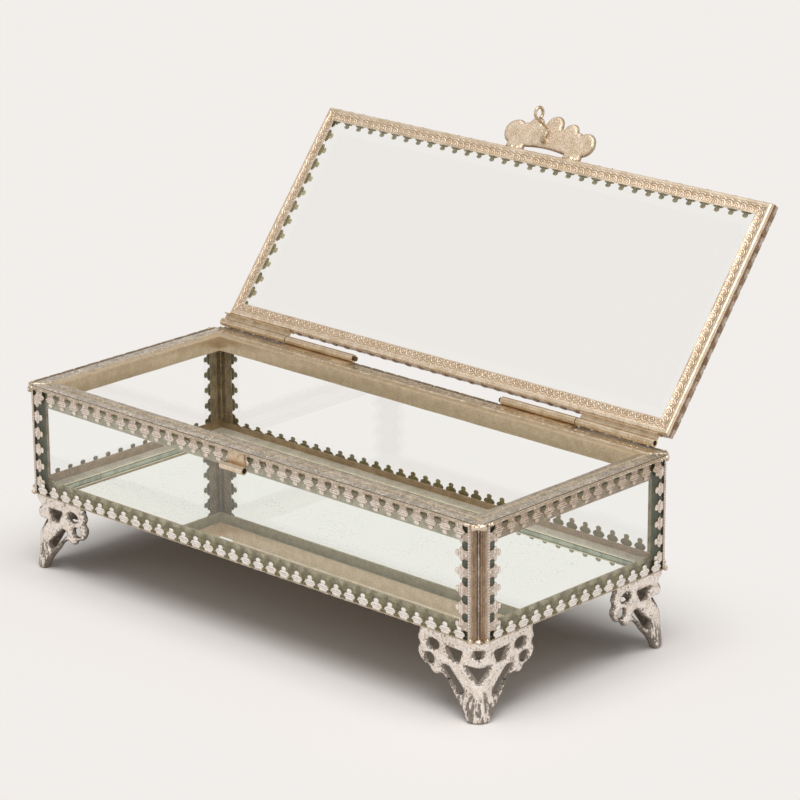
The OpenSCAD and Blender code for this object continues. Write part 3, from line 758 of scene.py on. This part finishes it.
def add_blob(bm, place, radius, stretch, seed, finish=0):
    """A small frozen drop of solder."""
    made = bmesh.ops.create_icosphere(bm, subdivisions=2, radius=1.0)["verts"]
    for vert in made:
        x, y, z = vert.co
        swell = 1 + 0.18 * math.sin(3 * x + seed) * math.cos(4 * y - seed) + 0.1 * math.sin(5 * z + 2 * seed)
        vert.co = Vector(place) + Vector((x * stretch[0], y * stretch[1], z * stretch[2])) * radius * swell
    for face in {f for v in made for f in v.link_faces}:
        face.material_index = finish


def add_ridge(bm, points, radius, seed, finish=0):
    """A run of solder along points, thick and thin by turns."""
    sides = 6
    rings = []
    for i, point in enumerate(points):
        point = Vector(point)
        ahead = Vector(points[min(i + 1, len(points) - 1)]) - Vector(points[max(i - 1, 0)])
        across = ahead.cross(Vector((0.31, 0.55, 0.78))).normalized()
        other = ahead.cross(across).normalized()
        size = radius * (1 + 0.3 * math.sin(1.9 * i + seed) + 0.2 * math.sin(0.7 * i + 3 * seed))
        rings.append([bm.verts.new(point + (across * math.cos(2 * math.pi * k / sides)
                                            + other * math.sin(2 * math.pi * k / sides)) * size)
                      for k in range(sides)])
    for a, b in zip(rings, rings[1:]):
        for k in range(sides):
            face = bm.faces.new((a[k], a[(k + 1) % sides], b[(k + 1) % sides], b[k]))
            face.material_index = finish
    for ring in (rings[0], rings[-1]):
        bm.faces.new(ring).material_index = finish


CORNERS = (("front_left", -1, -1), ("front_right", 1, -1), ("back_right", 1, 1), ("back_left", -1, 1))
for seed, (name, sx, sy) in enumerate(CORNERS):
    bm = bmesh.new()
    corner = Vector((sx * BOX_W / 2, BOX_MID_Y + sy * BOX_D / 2, 0))
    outward = Vector((sx, sy, 0))
    top = FOOT_H + SIDE_H
    along = Vector((sx, -sy, 0)) * NOTCH / 2
    middle = corner - outward * NOTCH / 2
    lip = []
    for i in range(15):
        t = (i / 7 - 1) * 0.76
        rise = -0.45 + 0.16 * math.sin(5.0 * t + seed)
        lip.append(middle + along * t + outward * 0.12 * math.sin(4 * t + 2 * seed)
                   + Vector((0, 0, top + rise)))
    add_ridge(bm, lip, 0.42, seed)
    plate = [middle + along * t + Vector((0, 0, top - 1.1 + 0.2 * math.sin(3 * t + seed)))
             for t in (-0.8, -0.4, 0, 0.4, 0.8)]
    add_ridge(bm, plate, 0.8, seed + 1)
    ways = (Vector((-sx, 0, 0)), Vector((0, -sy, 0)))
    for ahead, inward in zip(ways, reversed(ways)):
        arm = [corner - outward * 6 + ahead * (0.7 * i - 1.4)
               + Vector((0, 0, top - 0.1 + 0.1 * math.sin(1.7 * i + seed))) for i in range(11)]
        add_ridge(bm, arm, 0.26, seed + 4)
        crumple = [corner + ahead * (NOTCH + 0.4 * i) + inward * (0.12 + 0.1 * math.sin(2.3 * i + seed))
                   + Vector((0, 0, top - 0.4 + 0.18 * math.sin(1.3 * i + seed))) for i in range(9)]
        add_ridge(bm, crumple, 0.42, seed + 5)
    add_blob(bm, middle + along * 0.55 + Vector((0, 0, top - 0.35)), 0.6, (1.2, 1, 0.6), seed)
    add_blob(bm, middle - along * 0.6 + Vector((0, 0, top - 0.35)), 0.65, (1, 1.2, 0.6), seed + 2)
    inner = corner - outward * (NOTCH - 0.1)
    seam = [inner + Vector((0, 0, FOOT_H + 0.4 + (SIDE_H - 1.6) * i / 24)) for i in range(25)]
    add_ridge(bm, seam, 0.42, seed, finish=1 if sy < 0 else 2)
    mitre = [corner - outward * (2.0 + 0.4 * i) + along * 0.12 * math.sin(2.2 * i + seed)
             + Vector((0, 0, top - 0.08)) for i in range(11)]
    add_ridge(bm, mitre, 0.3, seed + 2)
    add_blob(bm, inner + outward * 0.8 + Vector((0, 0, FOOT_H - 0.1)), 1.3, (1, 1, 0.55), seed + 3)
    for t in (-0.9, 0.9):
        add_blob(bm, middle + along * t + Vector((0, 0, FOOT_H + 0.45)), 0.75, (1, 1, 1.1), seed + 7)
    bm.transform(Matrix.Scale(MM, 4))
    top_finish = solder_bright if name == "front_right" else fold_crumpled
    mesh = as_mesh(bm, name + " corner solder", [top_finish, solder_grey, stile_inside], sharp=80)
    new_piece(name + "_corner_solder", mesh, "casket")


# The feet: openwork castings bent round the corners, soldered under the lower rails.
# Scrolled wings with pierced eyes run down into one toe.

FOOT_LOW = (-18, -0.2)
FOOT_HIGH = (18, 26.6)
FOOT_STEP = 0.35
FOOT_IN = 3.4
FOOT_FACE = 1.25
FOOT_BACK = 0.9
FOOT_ROUND = 1.5
foot_half = ((3.3, -0.2), (4.1, 2.6), (5.6, 5.4), (7.3, 8.2), (8.8, 11.0), (10.2, 12.3), (11.6, 11.5),
             (13.1, 12.0), (13.9, 13.5), (15.4, 14.1), (16.9, 16.2), (17.2, 18.8), (16.6, 20.0),
             (17.3, 21.8), (16.9, 24.0), (16.6, 26.5))
foot_eyes = ((0, 21.9, 1.05, 1.0), (12.6, 21.3, 1.45, 1.0), (13.7, 16.3, 1.4, 0.85))
foot_gaps = (((-3.2, 17.3), (3.2, 17.3), (0, 12.8)), ((4.6, 21.5), (8.6, 21.8), (7.0, 18.2), (5.4, 18.3)))
foot_slot = ((8.8, 14.6), (5.0, 9.3), 0.95)


def polygon_depth(x, z, outline):
    """Distance inside an outline, less than 0 outside it."""
    points = np.array(outline)
    inside = np.zeros(x.shape, bool)
    near = np.full(x.shape, 1e9)
    for (ax, az), (bx, bz) in zip(points, np.roll(points, -1, axis=0)):
        dx, dz = bx - ax, bz - az
        t = np.clip(((x - ax) * dx + (z - az) * dz) / (dx * dx + dz * dz), 0, 1)
        near = np.minimum(near, np.hypot(x - ax - t * dx, z - az - t * dz))
        crosses = ((az > z) != (bz > z)) & (x < dx * (z - az) / (dz if dz else 1e-9) + ax)
        inside ^= crosses
    return np.where(inside, near, -near)


def eased(points, steps):
    """A smooth line through points."""
    made = []
    ends = [points[0]] + list(points) + [points[-1]]
    for a, b, c, d in zip(ends, ends[1:], ends[2:], ends[3:]):
        for i in range(steps):
            t = i / steps
            made.append(tuple(0.5 * (2 * q + (r - p) * t + (2 * p - 5 * q + 4 * r - s) * t * t
                                     + (3 * q - p - 3 * r + s) * t ** 3)
                              for p, q, r, s in zip(a, b, c, d)))
    return made + [points[-1]]


def cast_plate(depth_at, low, high, step, face, back, soft, place, rear_relief=0.3):
    """A casting of an outline: rounded in front, flatter behind, closed round its rim.
    place turns (across, up, out) arrays to points, and rear_relief says how clean its back is."""
    xs = np.arange(low[0], high[0] + step, step)
    zs = np.arange(low[1], high[1] + step, step)
    x, z = np.meshgrid(xs, zs, indexing="ij")
    depth = depth_at(x, z)
    solid = depth > 0
    cells = solid[:-1, :-1] & solid[1:, :-1] & solid[:-1, 1:] & solid[1:, 1:]
    used = np.zeros(solid.shape, bool)
    rim = np.zeros(solid.shape, bool)
    for i in (0, 1):
        for j in (0, 1):
            used[i:cells.shape[0] + i, j:cells.shape[1] + j] |= cells
            open_side = np.ones(solid.shape, bool)
            open_side[i:cells.shape[0] + i, j:cells.shape[1] + j] = ~cells
            rim |= open_side
    rim &= used
    slope_x = (depth_at(x + 0.05, z) - depth_at(x - 0.05, z)) / 0.1
    slope_z = (depth_at(x, z + 0.05) - depth_at(x, z - 0.05)) / 0.1
    steep = np.maximum(np.hypot(slope_x, slope_z), 0.3) ** 2
    x = np.where(rim, x - depth * slope_x / steep, x)
    z = np.where(rim, z - depth * slope_z / steep, z)
    depth = np.where(rim, 0, depth)
    swell = np.sqrt(1 - (1 - np.clip(depth / soft, 0, 1)) ** 2)
    front = place(x, z, face * swell)
    rear = place(x, z, -back * np.where(rim, 0, np.maximum(swell, 0.4)))
    bm = bmesh.new()
    relief = bm.verts.layers.float.new("relief")
    verts = []
    for points, shared in ((front, None), (rear, rim)):
        row = {}
        for i, j in np.argwhere(used):
            if shared is not None and shared[i, j]:
                row[i, j] = verts[0][i, j]
                continue
            vert = bm.verts.new(points[i, j])
            vert[relief] = float(swell[i, j]) if shared is None else rear_relief
            row[i, j] = vert
        verts.append(row)
    thin = rim[:-1, :-1] & rim[1:, :-1] & rim[:-1, 1:] & rim[1:, 1:]
    for i, j in np.argwhere(cells & ~thin):
        for row in verts:
            bm.faces.new((row[i, j], row[i + 1, j], row[i + 1, j + 1], row[i, j + 1]))
    bmesh.ops.delete(bm, geom=[v for v in bm.verts if not v.link_faces], context="VERTS")
    return bm


def foot_depth(x, z):
    """Distance inside the foot's pierced outline."""
    half = eased(foot_half, 4)
    outline = half + [(-a, b) for a, b in reversed(half)]
    depth = polygon_depth(x, z, outline)
    side = np.abs(x)
    for ex, ez, radius, squeeze in foot_eyes:
        depth = np.minimum(depth, np.hypot((side - ex) / squeeze, z - ez) - radius)
    depth = np.minimum(depth, -polygon_depth(x, z, foot_gaps[0]))
    depth = np.minimum(depth, -polygon_depth(side, z, foot_gaps[1]))
    (ax, az), (bx, bz), radius = foot_slot
    t = np.clip(((side - ax) * (bx - ax) + (z - az) * (bz - az)) / ((bx - ax) ** 2 + (bz - az) ** 2), 0, 1)
    return np.minimum(depth, np.hypot(side - ax - t * (bx - ax), z - az - t * (bz - az)) - radius)


def foot_place(x, z, out):
    """Bends the flat foot round the corner: x across, then in from the corner, then up."""
    rounding = 1.2 + 1.6 * np.clip(1 - z / 12, 0, 1)
    edge = FOOT_IN * math.sqrt(2) + 0.6 * np.sin(np.clip(z / 26, 0, 1) * math.pi)
    edge = edge - 0.5 * np.clip(1 - z / 9, 0, 1)
    reach = np.sqrt(x * x + rounding ** 2)
    slope = x / reach
    steep = np.sqrt(1 + slope * slope)
    thick = np.where(out < 0, -out * (1 + 1.6 * np.clip(1 - z / 13, 0, 1)), 0)
    ahead = np.maximum(out, 0)
    inward = edge + reach - rounding - ahead / steep + thick
    return np.stack([x + ahead * slope / steep, inward, np.maximum(z, 0)], axis=-1)


def cast_flow(nodes):
    """Height of a casting's skin: crumpled, and run down in grooves towards the toe."""
    where = place_on(nodes)
    toe = between(nodes, add(nodes, "ShaderNodeSeparateXYZ", {0: where}).outputs[2], 0.013, 0.005)
    drawn = vector_step(nodes, "MULTIPLY", where, (1000, 1000, 240))
    runs = spots_of(nodes, drawn, 0.8, 4.0, 0.65)
    lumps = spots_of(nodes, vector_step(nodes, "SCALE", where, 1000.0), 0.42, 3.0, 0.6)
    above = sum_up(nodes, "MULTIPLY", between(nodes, lumps, 0.36, 0.6, 0.55, 1.0),
                   sum_up(nodes, "SUBTRACT", 1.0, toe))
    drained = sum_up(nodes, "MULTIPLY", between(nodes, runs, 0.42, 0.56, -0.6, 1.0), toe)
    return sum_up(nodes, "ADD", above, drained)


cast_silver = metal("cast foot", "fff6ee", "ecdfd2", "54432f", soil=0.75, grain=1.5, bump=1.0,
                    relief=True, shine=0.1, metallic=0.75, pattern=cast_flow)
for quarter, (name, sx, sy) in enumerate(CORNERS):
    bm = cast_plate(foot_depth, FOOT_LOW, FOOT_HIGH, FOOT_STEP, FOOT_FACE, FOOT_BACK, FOOT_ROUND,
                    foot_place)
    corner = Vector((sx * BOX_W / 2, BOX_MID_Y + sy * BOX_D / 2, 0))
    turned = Matrix.Rotation(math.radians(90 * quarter - 45), 4, "Z")
    bm.transform(Matrix.Scale(MM, 4) @ Matrix.Translation(corner) @ turned)
    mesh = as_mesh(bm, name + " foot", [cast_silver], sharp=70)
    new_piece(name + "_foot", mesh, "casket", "foot_" + name)


# The catch: a short brass tube soldered across a tab that comes down from the front fold.

tube_brass = metal("tube brass", "f3e2cf", "dfcab0", "9a8264", soil=0.25, grain=1.2, bump=0.1, shine=0.1)
finish_node("catch_tab", metal("catch tab", "dcc7ab", "c2aa8a", "7f6a50", soil=0.5, grain=1.2))
finish_node("catch_tube", tube_brass)


# The hinges: drawn brass tubes that turn on pins, each tube soldered to a thin leaf. Two
# sit on the back rail and two on the lid's frame.

tube_plain = metal("hinge tube", "e3d1b7", "cab597", "8a7558", soil=0.35, grain=1.1, bump=0.2)
pin_brass = metal("hinge pin", "6e5a3c", "54432c", "33281a", soil=0.5)
for hand in ("left", "right"):
    finish_node(hand + "_box_knuckle", tube_plain)
    finish_node(hand + "_lid_knuckle", tube_plain)
    finish_node(hand + "_hinge_pin", pin_brass)


# The lid's glass: a thicker plate of the same clear glass, with a bevel ground round its
# upper face.

finish_node("lid_glass", clear_glass)


# The lid's frame: lace strip folded over the edges of the glass and mitred. Its plain side,
# pressed with small scrolls, is the underside; the leaves lie on the bevel above.

LID_REACH = 5.9
LID_LIP = 4.7
LID_T = 3.8
LID_W = 195.0
LID_D = 81.8
LID_BACK_IN = -3.3
LID_SEAT = -1.18
hinge = next(j for j in frame["joints"] if j["name"] == "lid_hinge")
LID_LEAN = hinge["range_deg"][1]
lid_place = (Matrix.Translation(hinge["pos_m"]) @ Matrix.Rotation(math.radians(-LID_LEAN), 4, "X")
             @ Matrix.Scale(MM, 4) @ Matrix.Translation((0, LID_BACK_IN - LID_D / 2, LID_SEAT)))

SCROLL_MID = 7.6
SCROLL = 1.4


def pressed_scrolls(nodes):
    """Height of a row of curled strokes, pressed along the strip between its edges."""
    along = add(nodes, "ShaderNodeUVMap", uv_map="strip").outputs[0]
    split = add(nodes, "ShaderNodeSeparateXYZ", {0: along}).outputs
    step = sum_up(nodes, "PINGPONG", split[0], SCROLL)
    bent = add(nodes, "ShaderNodeCombineXYZ", {0: step, 1: sum_up(nodes, "SUBTRACT", split[1], SCROLL_MID)})
    curl = add(nodes, "ShaderNodeTexWave", {
        "Vector": bent.outputs[0], "Scale": 0.55 / SCROLL, "Distortion": 5.0, "Detail": 2.0,
        "Detail Scale": 1.2 / SCROLL}, wave_type="RINGS", rings_direction="SPHERICAL").outputs["Fac"]
    return between(nodes, curl, 0.25, 0.75)


lid_scroll = metal("pressed lip", "f2e0ca", "dcc6aa", "a2876a", soil=0.6, grain=1.6, bump=0.5,
                   pattern=pressed_scrolls)
lid_leaf = metal("lid leaf back", "cfc49c", "b0a47c", "6b6246", soil=0.5, metallic=0.15)
lid_band = metal("rubbed band", "f7e8d4", "ddc8aa", "8d7656", soil=0.3, bump=0.3)
lid_web = metal("lid edge", "ab8f76", "886f5a", "45362a", soil=0.9, grain=1.6, bump=0.9)
EDGE_LUMP = bead_mesh(1.5, 0.45)
LID_FINISHES = [lace_plating, lid_web, lid_band, lid_scroll, strip_inside, leaf_back]
for seed, (name, angle, run, half, reach) in enumerate((
        ("front", 0, LID_W, LID_D / 2, LID_REACH + 0.3), ("right", 90, LID_D, LID_W / 2, LID_REACH),
        ("back", 180, LID_W, LID_D / 2, LID_REACH - 0.9), ("left", -90, LID_D, LID_W / 2, LID_REACH))):
    bm = bmesh.new()
    section = [(1.0, LID_T, 0), (0.5, LID_T, 0)] + turn(0.5, LID_T - 0.5, 0.5, 90, 180, 3, 0)
    section += [(0, 2.2, 1)] + turn(1.0, 1.0, 1.0, 180, 270, 5, 2)
    section += [(1.5, 0.0, 3), (1.65, 0.14, 3), (4.1, 0.14, 3), (4.25, 0.0, 2), (LID_LIP, 0.06, 2)]
    section += [(LID_LIP, 0.4, 4), (0.8, 0.4, 4), (0.4, 0.8, 4), (0.4, 3.2, 4), (0.6, 3.4, 4),
                (1.0, 3.4, 4)]
    add_strip(bm, section, lambda p: run / 2 - p, int(run / 4), 0.03, 9 + seed)
    for vert in bm.verts:
        vert.co.z = max(vert.co.z, 0.0)
    lace = bmesh.new()
    stand = Matrix.Translation((0, 0, LID_T - STRIP))
    add_leaves(lace, reach, run, stand, 80 + seed, LID_FINISHES)
    for s in (-1, 1):
        whole = list(lace.verts) + list(lace.edges) + list(lace.faces)
        cut = bmesh.ops.bisect_plane(lace, geom=whole, plane_co=(s * run / 2, 0, 0), plane_no=(s, 1, 0),
                                     clear_outer=True)
        edges = [g for g in cut["geom_cut"] if isinstance(g, bmesh.types.BMEdge)]
        bmesh.ops.holes_fill(lace, edges=edges)
    cut_lace = bpy.data.meshes.new("lid lace")
    lace.to_mesh(cut_lace)
    lace.free()
    bm.from_mesh(cut_lace)
    bumps = row_mesh(EDGE_LUMP, int(run / LEAF_PITCH), LEAF_PITCH, 0.1, 90 + seed, lid_web, lid_web)
    add_copy(bm, bumps, axes((1, 0, 0), (0, 0, 1), (0, 1, 0), (0, 0.1, LID_T / 2 + 0.3)), LID_FINISHES)
    bm.transform(lid_place @ Matrix.Rotation(math.radians(angle), 4, "Z")
                 @ Matrix.Translation((0, -half, 0)))
    mesh = as_mesh(bm, "lid " + name + " lace", LID_FINISHES[:-1] + [lid_leaf])
    new_piece("lid_" + name + "_lace", mesh, "lid", "lid_" + name + "_rail")


# The thumb piece: a cast crest of lobes on two feet, soldered in the plane of the lid. It is
# plain and rough, with its edges rounded.

CREST_H = 14.4
CREST_T = 2.0
CREST_LOW = (-20, 0)
CREST_HIGH = (20, 14.6)
CREST_STEP = 0.35
CREST_ROUND = 1.1


def crest_depth(x, y):
    """Distance inside the crest's outline, measured up from the lid's edge."""
    side = np.abs(x)
    body = polygon_depth(x, y, ((-15.5, 1.5), (15.5, 1.5), (17.5, 5), (12, 10.2), (-12, 10.2),
                                (-17.5, 5)))
    depth = np.maximum(body, 3.6 - np.hypot(x, y - CREST_H + 3.6))
    depth = np.maximum(depth, 3.1 - np.hypot(side - 7.6, y - CREST_H + 4.7))
    depth = np.maximum(depth, 4.4 - np.hypot(side - 15.2, y - CREST_H + 8.2))
    leg = np.minimum(3.8 - np.abs(side - 12.5), y + 1)
    gap = np.maximum(50 - np.hypot(x, y - 2.1 + 50), np.minimum(8.7 - side, 1.2 - y))
    depth = np.minimum(depth, -gap)
    return np.maximum(depth, np.minimum(leg, 3.2 - y))


def crest_place(x, y, out):
    """Lays the crest flat in the lid's plane, ahead of its front edge, its face up."""
    return np.stack([x, -y, LID_T / 2 + out], axis=-1)


crest_back = metal("cast crest", "e3d1bb", "cfba9f", "9a8468", soil=0.45, grain=2.6, bump=0.8,
                   relief=True, metallic=0.7)
bm = cast_plate(crest_depth, CREST_LOW, CREST_HIGH, CREST_STEP, CREST_T / 2, CREST_T / 2,
                CREST_ROUND, crest_place, rear_relief=0.9)
for seed, (x, size) in enumerate(((-13.2, 0.8), (12.6, 1.0), (-11.0, 0.6), (14.4, 0.7))):
    add_blob(bm, (x, -0.3, LID_T / 2 - CREST_T / 2), size, (1.3, 1, 0.5), seed, finish=1)
bm.transform(lid_place @ Matrix.Translation((0, -LID_D / 2, 0)))
mesh = as_mesh(bm, "thumb piece", [crest_back, solder_bright], sharp=70)
new_piece("cast_thumb_piece", mesh, "lid", "thumb_piece")


# The hook: springy brass wire soldered under the crest, bent down and curled at its end
# so that it snaps past the catch.

hook_brass = metal("hook wire", "e3d4bd", "bfab90", "5e4c38", soil=0.4, grain=1.2, bump=0.2)
finish_node("hook_wire", hook_brass)
